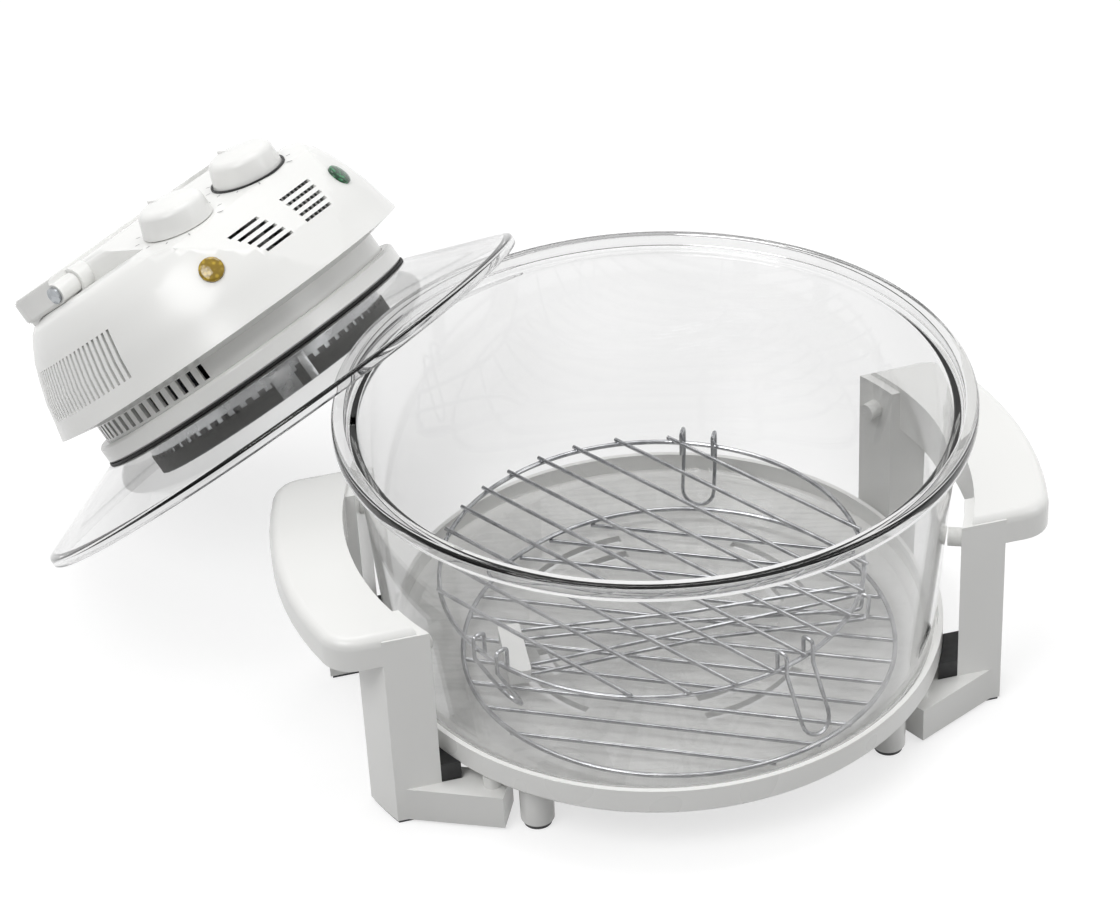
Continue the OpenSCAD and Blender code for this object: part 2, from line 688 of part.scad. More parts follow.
module side_section(t) {
    back = head_r + 1;
    polygon(concat(front(t), [[slope_y(panel_z - t, t), panel_z - t]],
        arc([panel_back - t - 8, panel_z - t - 8], 8, 90, 0, 6),
        [[panel_back - t, shoulder_z - t - 0.01], [back, shoulder_z - t - 0.01], [back, edge_z + t]]));
}

module head_solid(t) {
    intersection() {
        union() {
            rotate_extrude() polygon(concat([[0, edge_z + t]], dome(t)));
            intersection() {
                translate([0, 0, edge_z + t + 20]) cylinder(r = head_r - 18 - t, h = head_h + panel_rise);
                rotate([90, 0, 0]) linear_extrude(2 * head_r, center = true)
                    polygon(concat([[-panel_x + t, edge_z + 20], [panel_x - t, edge_z + 20]],
                        arc([panel_x - t - 7, panel_z - t - 7], 7, 0, 90, 6),
                        arc([-panel_x + t + 7, panel_z - t - 7], 7, 90, 180, 6)));
            }
        }
        rotate([90, 0, 90]) linear_extrude(2 * head_r + 2, center = true) side_section(t);
    }
}

// Frame of a knob: w along the panel's normal, zero on the panel's outer face
module on_panel(x) {
    translate([x, knob_y, knob_z]) rotate([panel_slope, 0, 0]) children();
}

module on_lens(side) {
    rotate([0, 0, -90 + side * lens_az]) translate([head_r - 9, 0, edge_z + 33.5]) rotate([0, 71, 0]) children();
}

vent_rows = 5;
inlet_z = edge_z + 14;
inlet_w = 30;
inlet_h = 22;
plunger_at = [handle_x, pivot_y + 24];
plunger_r = 3;
switch_z = shoulder_z - 24;

module housing_cover() {
    color("white") on_lid() difference() {
        union() {
            difference() {
                union() {
                    head_solid(0);
                    for (s = [-1, 1]) translate([s * (panel_x - 1), pivot_y, pivot_z]) rotate([0, s * 90, 0])
                        cylinder(r = 8, h = handle_x - handle_w / 2 - gap - panel_x + 1);
                }
                head_solid(head_wall);
                translate([0, 0, edge_z - 1]) cylinder(r = head_r - head_wall - 1, h = head_wall + 2);
            }
            rotate_extrude() polygon([[neck_r + run_fit, neck_top - 3], [head_r, edge_z],
                [head_r - head_wall, edge_z + 3.5], [neck_r + 6, neck_top], [neck_r + run_fit, neck_top]]);
            intersection() {
                head_solid(1);
                for (a = COVER_SCREWS) rotate([0, 0, a]) translate([cover_screw_r, 0, plate_top]) cylinder(r = boss_r, h = head_h);
            }
        }
        for (a = COVER_SCREWS) rotate([0, 0, a]) translate([cover_screw_r, 0, plate_top - 1]) cylinder(r = screw_r + run_fit, h = 12);
        for (s = [-1, 1]) translate([s * (panel_x + 1), pivot_y, pivot_z]) rotate([0, s * 90, 0]) cylinder(r = pin_r + run_fit, h = 20);
        for (s = [-1, 1]) {
            on_panel(s * knob_x) translate([0, 0, -10]) cylinder(r = spindle_r + 0.6, h = 20);
            on_lens(s) translate([0, 0, -8]) cylinder(r = lens_r, h = 16);
            for (k = [0:vent_rows - 1]) {
                x0 = 5.8 + 0.9 * k;
                x1 = 26.7 + 1.7 * k;
                translate([s > 0 ? x0 : -x1, -head_r - 1, edge_z + 24 + 4.1 * k]) cube([x1 - x0, 32, 1.8]);
            }
            for (k = [-10:10]) rotate([0, 0, 90 - s * 90 + k * grille_pitch])
                translate([head_r - 22, -grille_slot / 2, edge_z + 11]) cube([30, grille_slot, 28]);
        }
        translate([-inlet_w / 2, head_r - 12, inlet_z - inlet_h / 2]) cube([inlet_w, 20, inlet_h]);
        translate([plunger_at[0], plunger_at[1], shoulder_z - 20]) cylinder(r = plunger_r + run_fit, h = 30);
    }
}

module housing_screws() {
    color("silver") on_lid() {
        for (a = SCREW_RING) rotate([0, 0, a]) translate([neck_screw_r, 0, 0]) {
            translate([0, 0, plate_top]) cylinder(r = 3.8, h = head_screw_h);
            translate([0, 0, neck_top - 11]) cylinder(r = screw_r, h = 11 + plate_t);
        }
        for (a = COVER_SCREWS) rotate([0, 0, a]) translate([cover_screw_r, 0, 0]) {
            translate([0, 0, neck_top - head_screw_h]) cylinder(r = head_screw_r, h = head_screw_h);
            translate([0, 0, neck_top]) cylinder(r = screw_r, h = 10);
        }
    }
}

module reflector_pan() {
    t = pan_plate_t;
    under = lid_glass_h - glass_wall;
    color("gainsboro") on_lid() difference() {
        rotate_extrude() polygon([[8, pan_top - t], [pan_r - t, pan_top - t], [pan_r - t, pan_bottom], [pan_r, pan_bottom],
            [pan_r, under - t], [lid_hole_r + 9, under - t], [lid_hole_r + 9, under], [pan_r, under], [pan_r, pan_top],
            [8, pan_top]]);
        for (a = SCREW_RING) rotate([0, 0, a]) translate([clamp_screw_r, 0, pan_top - t - 1])
            cylinder(r = screw_r + run_fit, h = t + 2);
    }
}

module fan_guard() {
    color("silver") on_lid() difference() {
        translate([0, 0, pan_bottom - guard_t]) cylinder(r = pan_r, h = guard_t);
        for (ring = [0:3], a = [0:45:315]) rotate([0, 0, a + 22 * (ring % 2)])
            rotate_extrude(angle = 38 - 2 * ring) translate([18 + 14 * ring, pan_bottom - guard_t - 1]) square([9, guard_t + 2]);
    }
}

lamp_gap = 30;
holder_at = 90;
holder_w = lamp_tube_r * 3;
holder_l = lamp_ring_r * 2 / 3;

module halogen_lamp() {
    color([0.95, 0.93, 0.85]) on_lid() translate([0, 0, lamp_z]) rotate([0, 0, holder_at + lamp_gap / 2])
        rotate_extrude(angle = 360 - lamp_gap) translate([lamp_ring_r, 0]) circle(r = lamp_tube_r);
}

module lamp_holder() {
    color("linen") on_lid() difference() {
        rotate([0, 0, holder_at]) translate([lamp_ring_r - holder_w / 2 - 1, -holder_l / 2, lamp_z - lamp_tube_r - 2])
            cube([holder_w, holder_l, pan_top - pan_plate_t - lamp_z + lamp_tube_r + 2]);
        translate([0, 0, lamp_z]) rotate_extrude() translate([lamp_ring_r, 0]) circle(r = lamp_tube_r + run_fit);
        for (a = [45, 135]) rotate([0, 0, a]) translate([clamp_screw_r, 0, pan_top - pan_plate_t - 3])
            cylinder(r = boss_r, h = 4);
    }
}

motor_z = plate_top + 8;
motor_h = 34;
bracket_w = motor_r * 6 / 7;
bracket_t = 1.5;
bracket_x = motor_r + 10;
bracket_foot = 10;

module motor_bracket() {
    color("silver") on_lid() difference() {
        union() {
            translate([-bracket_x, -bracket_w / 2, motor_z - bracket_t]) cube([2 * bracket_x, bracket_w, bracket_t]);
            for (s = [0, 1]) mirror([s, 0, 0]) translate([bracket_x - bracket_t, -bracket_w / 2, plate_top]) {
                cube([bracket_t, bracket_w, motor_z - plate_top]);
                cube([bracket_foot, bracket_w, bracket_t]);
            }
        }
        translate([0, 0, motor_z - 3]) cylinder(r = shaft_r + 1, h = 6);
    }
}

module motor() {
    color("dimgray") on_lid() difference() {
        union() {
            translate([0, 0, motor_z]) cylinder(r = motor_r, h = motor_h - 6);
            translate([0, 0, motor_z + motor_h - 6]) cylinder(r = motor_r * 0.4, h = 6);
        }
        translate([0, 0, motor_z - 1]) cylinder(r = shaft_r + run_fit, h = motor_h - 5);
    }
}

stir_z = 11;
stir_h = 11;
nut_h = 3.5;

module fan_shaft() {
    z0 = stir_z - nut_h - 1;
    color("silver") on_lid() translate([0, 0, z0]) cylinder(r = shaft_r, h = motor_z + motor_h - 8 - z0);
}

module blades(count, r0, r1, z, h, pitch) {
    for (k = [0:count - 1]) rotate([0, 0, 360 * k / count]) translate([r0, 0, z + h / 2]) rotate([pitch, 0, 0])
        translate([0, -0.6, -h / 2]) cube([r1 - r0, 1.2, h]);
}

module circulation_fan() {
    color("silver") on_lid() difference() {
        union() {
            translate([0, 0, stir_z]) cylinder(r = 7, h = stir_h);
            translate([0, 0, stir_z + stir_h - 1.2]) cylinder(r = stir_r - 10, h = 1.2);
            intersection() {
                blades(8, 5, stir_r, stir_z, stir_h - 0.6, 12);
                translate([0, 0, stir_z]) cylinder(r = stir_r, h = stir_h);
            }
        }
        translate([0, 0, stir_z - 1]) cylinder(r = shaft_r + run_fit, h = stir_h + 2);
    }
}

module fan_nut() {
    color("silver") on_lid() difference() {
        translate([0, 0, stir_z - nut_h]) cylinder(r = shaft_r * 2, h = nut_h, $fn = 6);
        translate([0, 0, stir_z - nut_h - 1]) cylinder(r = shaft_r + run_fit, h = nut_h + 2);
    }
}

cool_z = web_top + 5;
cool_h = neck_top - web_top - 10;

module cooling_fan() {
    color("silver") on_lid() difference() {
        union() {
            translate([0, 0, cool_z]) cylinder(r = 9, h = cool_h);
            translate([0, 0, cool_z]) cylinder(r = cool_r - 14, h = 1.2);
            intersection() {
                blades(12, 7, cool_r, cool_z, cool_h, 0);
                translate([0, 0, cool_z]) cylinder(r = cool_r, h = cool_h);
            }
        }
        translate([0, 0, cool_z - 1]) cylinder(r = shaft_r + run_fit, h = cool_h + 2);
    }
}

timer_r = 16;
timer_h = 30;
spindle_in = 12;
spindle_out = 10;

// Body of a control under the panel, with a bore for its spindle
module control_body(x, r, h) {
    on_panel(x) difference() {
        translate([0, 0, -head_wall - h]) cylinder(r = r, h = h);
        translate([0, 0, -head_wall - spindle_in]) cylinder(r = spindle_r + run_fit, h = spindle_in + 1);
    }
}

module spindle(x) {
    on_panel(x) translate([0, 0, -head_wall - spindle_in + 1]) cylinder(r = spindle_r, h = head_wall + spindle_in - 1 + spindle_out);
}

module knob(x) {
    on_panel(x) difference() {
        union() {
            rotate_extrude() polygon([[0, gap], [knob_r - 0.8, gap], [knob_r, gap + 1], [knob_r - 0.6, 4.5],
                [knob_r - 3, 6], [knob_r - 4.5, knob_h - 1.5], [knob_r - 6, knob_h], [0, knob_h]]);
            for (k = [0:17]) rotate([0, 0, 20 * k]) translate([knob_r - 4.4, -0.9, 4]) cube([1.5, 1.8, knob_h - 6.5]);
        }
        translate([0, 0, -1]) cylinder(r = spindle_r + run_fit, h = spindle_out + 1.2);
        rotate([0, 0, 90]) translate([knob_r - 12, -0.8, knob_h - 0.7]) cube([14, 1.6, 2]);
    }
}

module timer_body() {
    color("dimgray") on_lid() control_body(-knob_x, timer_r, timer_h);
}

module timer_spindle() {
    color("silver") on_lid() spindle(-knob_x);
}

module timer_knob() {
    color("white") on_lid() knob(-knob_x);
}

module thermostat() {
    color("dimgray") on_lid() control_body(knob_x, timer_r * 0.7, timer_h * 0.7);
}

module temperature_spindle() {
    color("silver") on_lid() spindle(knob_x);
}

module temperature_knob() {
    color("white") on_lid() knob(knob_x);
}

module knob_trim() {
    color([0.1, 0.1, 0.1]) on_lid() on_panel(knob_x) difference() {
        cylinder(r = knob_r + 1.6, h = 1);
        translate([0, 0, -1]) cylinder(r = knob_r + gap, h = 3);
    }
}

module lens(side) {
    on_lens(side) rotate_extrude() polygon(concat([[0, -4], [lens_r - run_fit, -4], [lens_r - run_fit, 1.2]],
        [for (k = [1:5]) [(lens_r - run_fit) * cos(18 * k), 1.2 + 1.4 * sin(18 * k)]]));
}

module amber_lens() {
    color("goldenrod") on_lid() lens(-1);
}

module green_lens() {
    color("seagreen") on_lid() lens(1);
}

// Plan of the handle's outer or inner edge, open at the pins
module handle_edge(x, y, r) {
    union() {
        translate([-x, 0]) square([2 * x, y - r]);
        translate([-x + r, 0]) square([2 * x - 2 * r, y]);
        for (s = [-1, 1]) translate([s * (x - r), y - r]) circle(r = r);
    }
}

module handle_plan(inset) {
    half = handle_w / 2;
    difference() {
        handle_edge(handle_x + half - inset, handle_reach - inset, handle_corner - inset);
        translate([0, -1]) handle_edge(handle_x - half + inset, handle_reach - handle_w + inset + 1, handle_corner - handle_w + inset);
    }
}

module lid_handle() {
    hub = pivot_z - handle_z0;
    color("white") on_lid() difference() {
        union() {
            for (layer = [[0, 1.6], [0.8, 0.5], [1.8, 0]])
                translate([0, pivot_y, handle_z0 + layer[0]]) linear_extrude(handle_t - 2 * layer[0]) handle_plan(layer[1]);
            for (s = [-1, 1]) translate([s * handle_x, pivot_y, pivot_z]) rotate([0, 90, 0]) cylinder(r = hub, h = handle_w, center = true);
        }
        for (s = [-1, 1]) translate([s * handle_x, pivot_y, pivot_z]) rotate([0, 90, 0])
            cylinder(r = pin_r + run_fit, h = handle_w + 2, center = true);
    }
}

module handle_pins() {
    x0 = panel_x + 1.5;
    x1 = handle_x + handle_w / 2 + gap;
    color("silver") on_lid() for (s = [-1, 1]) translate([0, pivot_y, pivot_z]) rotate([0, s * 90, 0]) {
        translate([0, 0, x0]) cylinder(r = pin_r, h = x1 - x0);
        translate([0, 0, x1]) cylinder(r = pin_r + 1.8, h = 1.5);
    }
}

switch_h = 10;

module microswitch() {
    color([0.15, 0.15, 0.15]) on_lid() translate([plunger_at[0] - 8, plunger_at[1] - 9, switch_z]) cube([12, 18, switch_h]);
}

module safety_plunger() {
    z0 = switch_z + switch_h + 0.3;
    color("red") on_lid() translate([plunger_at[0], plunger_at[1], 0]) {
        translate([0, 0, z0]) cylinder(r = plunger_r, h = handle_z0 - gap / 2 - z0);
        translate([0, 0, z0]) cylinder(r = plunger_r + 1.2, h = plunger_travel / 2);
    }
}

module cord_inlet() {
    d = 20;
    color([0.12, 0.12, 0.12]) on_lid() translate([0, head_r - 3 - d, inlet_z]) {
        difference() {
            union() {
                translate([-inlet_w / 2 + 0.1, 0, -inlet_h / 2 + 0.1]) cube([inlet_w - 0.2, d, inlet_h - 0.2]);
                translate([-8, 0, plate_top - inlet_z]) cube([16, 6, inlet_z - inlet_h / 2 - plate_top + 1]);
            }
            translate([-inlet_w / 2 + 3, d - 14, -inlet_h / 2 + 3]) cube([inlet_w - 6, 15, inlet_h - 6]);
        }
        for (p = [[-7, -2], [7, -2], [0, 3]]) translate([p[0] - 1, d - 15, p[1] - 2]) cube([2, 11, 4]);
    }
}

base_tray();
peg_feet();
foot_pads();
left_handle_frame();
right_handle_frame();
post_bumpers();
tray_spacers();
frame_screws();
glass_bowl();
low_rack();
tongs_grip();
tongs_wires();
high_rack_grid();
high_rack_legs();
glass_lid();
lid_seal();
clamp_ring();
neck_ring();
base_plate();
housing_cover();
reflector_pan();
fan_guard();
halogen_lamp();
lamp_holder();
motor();
motor_bracket();
fan_shaft();
circulation_fan();
cooling_fan();
fan_nut();
timer_body();
timer_spindle();
timer_knob();
thermostat();
temperature_spindle();
temperature_knob();
knob_trim();
amber_lens();
green_lens();
lid_handle();
handle_pins();
microswitch();
safety_plunger();
cord_inlet();
clamp_screws();
housing_screws();
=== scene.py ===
import json
import math
import bpy
from mathutils import Matrix, Vector

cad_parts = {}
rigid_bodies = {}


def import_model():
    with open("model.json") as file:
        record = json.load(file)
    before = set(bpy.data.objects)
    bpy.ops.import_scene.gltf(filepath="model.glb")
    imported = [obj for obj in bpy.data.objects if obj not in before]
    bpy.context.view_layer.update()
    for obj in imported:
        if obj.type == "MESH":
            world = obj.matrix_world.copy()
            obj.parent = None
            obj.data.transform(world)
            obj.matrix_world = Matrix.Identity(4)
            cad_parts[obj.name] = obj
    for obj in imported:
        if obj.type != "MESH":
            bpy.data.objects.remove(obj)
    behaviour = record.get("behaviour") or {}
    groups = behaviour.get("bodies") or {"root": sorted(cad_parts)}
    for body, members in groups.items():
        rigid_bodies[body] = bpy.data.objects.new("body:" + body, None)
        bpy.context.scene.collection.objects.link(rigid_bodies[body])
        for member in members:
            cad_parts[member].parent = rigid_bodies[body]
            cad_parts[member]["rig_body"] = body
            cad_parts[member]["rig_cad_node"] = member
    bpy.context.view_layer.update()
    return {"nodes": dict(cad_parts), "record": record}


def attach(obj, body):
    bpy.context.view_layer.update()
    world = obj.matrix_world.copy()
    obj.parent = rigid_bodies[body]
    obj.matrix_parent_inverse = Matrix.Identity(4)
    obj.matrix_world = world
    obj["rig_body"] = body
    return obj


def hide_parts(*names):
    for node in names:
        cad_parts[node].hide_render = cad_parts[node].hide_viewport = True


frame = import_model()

nodes = frame["nodes"]
bodyOf = {node: body for body, members in frame["record"]["behaviour"]["bodies"].items() for node in members}
slotOf = {part["node"]: part["material_slot"] for part in frame["record"]["subparts"]}
mm = 0.001
waveScale = 0.314  # a Wave texture's period in metres is this over its Scale
print("frame loaded:", len(nodes), "nodes")

# Two places carry everything: the bowl's axis on the table, and the lid where it leans (mm and degrees)
bowlPlace = {"x": 53.547, "y": -78.676}
lidPlace = {"centre": (-112.593, 102.634, 100.922), "direction": 132.5, "lean": 39.4, "headTurn": -95}
homeFrame = Matrix.Translation((bowlPlace["x"] * mm, bowlPlace["y"] * mm, 0))
lidFrame = (Matrix.Translation(Vector(lidPlace["centre"]) * mm)
            @ Matrix.Rotation(math.radians(lidPlace["direction"]), 4, "Z")
            @ Matrix.Rotation(math.radians(lidPlace["lean"]), 4, "Y")
            @ Matrix.Rotation(math.radians(lidPlace["headTurn"]), 4, "Z"))


def fromHex(code):
    parts = [int(code[i:i + 2], 16) / 255 for i in (1, 3, 5)]
    return [c / 12.92 if c <= 0.04045 else ((c + 0.055) / 1.055) ** 2.4 for c in parts] + [1]


def addNode(tree, kind, inputs=None, **settings):
    node = tree.nodes.new("ShaderNode" + kind)
    for key, value in settings.items():
        setattr(node, key, value)
    for key, value in (inputs or {}).items():
        if isinstance(value, bpy.types.NodeSocket):
            tree.links.new(value, node.inputs[key])
        else:
            node.inputs[key].default_value = value
    return node


def newMaterial(name, **shaderInputs):
    material = bpy.data.materials.new(name)
    material.use_nodes = True
    tree = material.node_tree
    tree.nodes.clear()
    output = addNode(tree, "OutputMaterial")
    shader = addNode(tree, "BsdfPrincipled", {key.replace("_", " "): value for key, value in shaderInputs.items()})
    tree.links.new(shader.outputs[0], output.inputs[0])
    place = addNode(tree, "TexCoord").outputs["Object"]
    return material, tree, shader, place


# Wires a look to a shader: one pattern mixes the dark and light shade, one wanders the roughness, one gives the bump.
# Where no pattern is handed in, a noise of the size that the look names in mm is drawn.
def paint(tree, shader, place, look, shadePattern=None, bumpPattern=None):
    noise = {}
    for key in ("shadeMm", "roughMm", "bumpMm"):
        if key in look:
            noise[key] = addNode(tree, "TexNoise", {"Vector": place, "Scale": 1 / (look[key] * mm),
                                                    "Detail": look.get("detail", 0)}).outputs[0]
    if shadePattern is None:
        shadePattern = noise["shadeMm"]
    low, high = look.get("shadeSpread", (0.2, 0.8))
    spread = addNode(tree, "MapRange", {"Value": shadePattern, "From Min": low, "From Max": high},
                     interpolation_type="SMOOTHSTEP")
    shade = addNode(tree, "Mix", {0: spread.outputs[0], 6: fromHex(look["dark"]), 7: fromHex(look["light"])},
                    data_type="RGBA")
    tree.links.new(shade.outputs[2], shader.inputs["Base Color"])
    if "roughMm" in look:
        rough = addNode(tree, "MapRange", {"Value": noise["roughMm"], "From Min": 0.3, "From Max": 0.7,
                                           "To Min": look["rough"][0], "To Max": look["rough"][1]})
        tree.links.new(rough.outputs[0], shader.inputs["Roughness"])
    if bumpPattern is None and "bumpMm" in look:
        bumpPattern = noise["bumpMm"]
    if bumpPattern is not None:
        bump = addNode(tree, "Bump", {"Height": bumpPattern, "Distance": look["depthMm"] * mm, "Strength": 1.0})
        tree.links.new(bump.outputs[0], shader.inputs["Normal"])


# Lamps and bounced light pass straight through clear glass, so that what stands in it is lit
def letLightThrough(tree, shader, tint):
    rays = addNode(tree, "LightPath")
    either = addNode(tree, "Math", {0: rays.outputs["Is Shadow Ray"], 1: rays.outputs["Is Diffuse Ray"]},
                     operation="MAXIMUM")
    straight = addNode(tree, "BsdfTransparent", {"Color": fromHex(tint)})
    chosen = addNode(tree, "MixShader", {0: either.outputs[0], 1: shader.outputs[0], 2: straight.outputs[0]})
    output = [node for node in tree.nodes if node.type == "OUTPUT_MATERIAL"][0]
    tree.links.new(chosen.outputs[0], output.inputs[0])


# Polypropylene, injection moulded in a polished tool: glossy, with a slow waviness and a faint bloom of colour
plasticLook = {"light": "#EDEDEB", "dark": "#EAEAE8", "shadeMm": 60, "rough": (0.22, 0.26), "roughMm": 25,
               "bumpMm": 9, "depthMm": 0.012}
mouldedPlastic, tree, shader, place = newMaterial("mouldedPolypropylene", IOR=1.49)
paint(tree, shader, place, plasticLook)

# Pressed steel tray with a baked enamel coat, which pulls to a fine orange peel: 1 mm across, drawn at 1.8 mm to show
enamelLook = {"light": "#ECECEA", "dark": "#E7E7E5", "shadeMm": 70, "rough": (0.26, 0.32), "roughMm": 30,
              "bumpMm": 1.8, "depthMm": 0.008}
bakedEnamel, tree, shader, place = newMaterial("bakedEnamel", IOR=1.52)
paint(tree, shader, place, enamelLook)

# Borosilicate, pressed and fire polished: clear, a little grey in its thick edge, with long soft press waves
bowlGlassLook = {"light": "#EDEDED", "dark": "#E8E8E8", "shadeMm": 80, "bumpMm": 45, "depthMm": 0.03}
borosilicate, tree, shader, place = newMaterial("pressedBorosilicate", IOR=1.47, Roughness=0.0, Transmission_Weight=1.0)
paint(tree, shader, place, bowlGlassLook)
letLightThrough(tree, shader, "#F7F7F7")

# Tempered lid glass: the same clear body, but greyer, because the sheet is bent and its edge is ground
lidGlassLook = {"light": "#ECECEC", "dark": "#E6E6E6", "shadeMm": 60, "bumpMm": 60, "depthMm": 0.01}
temperedGlass, tree, shader, place = newMaterial("temperedGlass", IOR=1.5, Roughness=0.0, Transmission_Weight=1.0)
paint(tree, shader, place, lidGlassLook)
letLightThrough(tree, shader, "#F2F2F2")

# Nickel-chromed steel wire: bright, with drawing lines dulled by the plating and a bloom from the oven's heat
chromeLook = {"light": "#C9CACC", "dark": "#A2A3A6", "shadeMm": 9, "rough": (0.1, 0.24), "roughMm": 5, "detail": 2}
chromedWire, tree, shader, place = newMaterial("chromedWire", Metallic=1.0)
paint(tree, shader, place, chromeLook)

# Zinc-plated steel: satin, with a spangle of a few millimetres
zincLook = {"light": "#B4B7BA", "dark": "#8C9094", "spangleMm": 3.5, "shadeSpread": (0.1, 0.9), "rough": (0.3, 0.48),
            "roughMm": 2, "detail": 2}
zincedSteel, tree, shader, place = newMaterial("zincedSteel", Metallic=1.0)
spangle = addNode(tree, "TexVoronoi", {"Vector": place, "Scale": 1 / (zincLook["spangleMm"] * mm)})
paint(tree, shader, place, zincLook, shadePattern=spangle.outputs["Color"])

# Aluminium sheet, spun and bright: mirror-like with circular lines 0.3 mm apart, drawn at 1.2 mm to show
spunLook = {"light": "#D6D7D8", "dark": "#B2B4B6", "lineMm": 1.2, "shadeSpread": (0.1, 0.9), "rough": (0.14, 0.3),
            "roughMm": 8, "depthMm": 0.01, "detail": 2}
spunAluminium, tree, shader, place = newMaterial("spunAluminium", Metallic=1.0)
onLidAxis = {"Location": lidFrame.inverted().translation, "Rotation": lidFrame.inverted().to_euler()}
centred = addNode(tree, "Mapping", {"Vector": place, **onLidAxis})
rings = addNode(tree, "TexWave", {"Vector": centred.outputs[0], "Scale": waveScale / (spunLook["lineMm"] * mm),
                                  "Distortion": 1.5, "Detail": 1.0},
                wave_type="RINGS", rings_direction="Z").outputs[0]
paint(tree, shader, place, spunLook, shadePattern=rings, bumpPattern=rings)

# Heat-proof black paint, baked on the steel band round the pan: dull, with an orange peel 1 mm across, drawn at 1.6 mm
bandLook = {"light": "#101011", "dark": "#080809", "shadeMm": 8, "rough": (0.5, 0.7), "roughMm": 4,
            "bumpMm": 1.6, "depthMm": 0.012}
bakedBlack, tree, shader, place = newMaterial("bakedBlackPaint", IOR=1.5, Specular_IOR_Level=0.2)
paint(tree, shader, place, bandLook)

# Silicone seal, black, extruded: matt with a bloom of dust
sealLook = {"light": "#1C1C1D", "dark": "#101011", "shadeMm": 4, "rough": (0.5, 0.7), "roughMm": 2, "detail": 2}
sealRubber, tree, shader, place = newMaterial("siliconeSeal", IOR=1.41)
paint(tree, shader, place, sealLook)

# White silicone bumpers: matt and slightly warm
bumperLook = {"light": "#E8E8E6", "dark": "#DEDEDB", "shadeMm": 3, "rough": (0.45, 0.65), "roughMm": 1.5, "detail": 2}
bumperRubber, tree, shader, place = newMaterial("whiteSilicone", IOR=1.41)
paint(tree, shader, place, bumperLook)

# Grey foot rubber, compression moulded: matt, with a grain of 0.3 mm, drawn at 0.7 mm to show
padLook = {"light": "#5A5A5B", "dark": "#4A4A4B", "shadeMm": 3, "rough": (0.6, 0.8), "roughMm": 1,
           "bumpMm": 0.7, "depthMm": 0.02, "detail": 2}
footRubber, tree, shader, place = newMaterial("footRubber", IOR=1.5)
paint(tree, shader, place, padLook)

# Black glass-filled nylon out of a spark-eroded tool: a matt grain, 0.3 mm across and drawn at 0.9 mm to show
nylonLook = {"light": "#202122", "dark": "#131314", "shadeMm": 6, "rough": (0.42, 0.6), "roughMm": 4,
             "bumpMm": 0.9, "depthMm": 0.03, "detail": 2}
blackNylon, tree, shader, place = newMaterial("blackNylon", IOR=1.53)
paint(tree, shader, place, nylonLook)

# Quartz lamp tube, drawn: clear with a milky bloom, so the coil inside only just shows
quartzLook = {"light": "#F4F1E6", "dark": "#E6E1D2", "shadeMm": 10, "rough": (0.08, 0.2), "roughMm": 3, "detail": 2}
quartzTube, tree, shader, place = newMaterial("drawnQuartz", IOR=1.46, Transmission_Weight=0.8)
paint(tree, shader, place, quartzLook)

# Steatite lamp holder, pressed and fired: chalky, with small dark specks
steatiteLook = {"light": "#E8E2D4", "dark": "#CFC7B4", "shadeMm": 1.2, "rough": (0.55, 0.75), "roughMm": 2, "detail": 4}
steatite, tree, shader, place = newMaterial("firedSteatite", IOR=1.55)
paint(tree, shader, place, steatiteLook)

# Motor iron: a stack of lacquered laminations, 0.5 mm thick and drawn at 0.8 mm to show
ironLook = {"light": "#48494C", "dark": "#2C2D2F", "sheetMm": 0.8, "shadeSpread": (0.1, 0.9), "rough": (0.35, 0.5),
            "roughMm": 3, "detail": 2}
lacqueredIron, tree, shader, place = newMaterial("lacqueredIron", Metallic=0.7)
centred = addNode(tree, "Mapping", {"Vector": place, **onLidAxis})
stack = addNode(tree, "TexWave", {"Vector": centred.outputs[0], "Scale": waveScale / (ironLook["sheetMm"] * mm)},
                wave_type="BANDS", bands_direction="Z")
paint(tree, shader, place, ironLook, shadePattern=stack.outputs[0])

# Acrylic lamp lenses, tinted in the mass and faceted inside: each facet gets a painted highlight, light at the cell's
# centre and dark at its edge, for the way the facets catch the light; the cells also give the real bump
lensFacets = {"cellMm": 2.6, "shadeSpread": (0.1, 0.6), "depthMm": 0.12}
lensLitAndShadedTones = {"amber": {"light": "#C2A436", "dark": "#8E741A"}, "green": {"light": "#2F8F5A", "dark": "#0C3F24"}}
lensMaterials = {}
for slot, colours in lensLitAndShadedTones.items():
    lensMaterials[slot], tree, shader, place = newMaterial(slot + "Acrylic", IOR=1.49, Roughness=0.08,
                                                           Coat_Weight=0.5, Coat_Roughness=0.03)
    cells = addNode(tree, "TexVoronoi", {"Vector": place, "Scale": 1 / (lensFacets["cellMm"] * mm)}).outputs["Distance"]
    # Painted highlight and shade: lighter towards each facet's centre, darker towards its edge
    facetHighlight = addNode(tree, "Math", {0: 0.7, 1: cells}, operation="SUBTRACT").outputs[0]
    paint(tree, shader, place, {**lensFacets, **colours}, shadePattern=facetHighlight, bumpPattern=cells)

# Red acetal plunger, moulded: waxy
acetalLook = {"light": "#C0271F", "dark": "#A81A14", "shadeMm": 5, "rough": (0.3, 0.42), "roughMm": 2, "detail": 2}
redAcetal, tree, shader, place = newMaterial("redAcetal", IOR=1.48)
paint(tree, shader, place, acetalLook)

# Pad-printed ink of the dials: grey, flat, a little uneven where the pad lifted
inkLook = {"light": "#8F9092", "dark": "#7B7C7E", "shadeMm": 1.5, "rough": (0.45, 0.6), "roughMm": 1, "detail": 2}
dialInk, tree, shader, place = newMaterial("dialInk", IOR=1.5)
paint(tree, shader, place, inkLook)

# Coiled tungsten of the lamp: dull grey wire, darker where it has been hot
tungstenLook = {"light": "#8A8884", "dark": "#5C5A57", "shadeMm": 6, "rough": (0.35, 0.5), "roughMm": 2, "detail": 2}
tungsten, tree, shader, place = newMaterial("coiledTungsten", Metallic=1.0)
paint(tree, shader, place, tungstenLook)

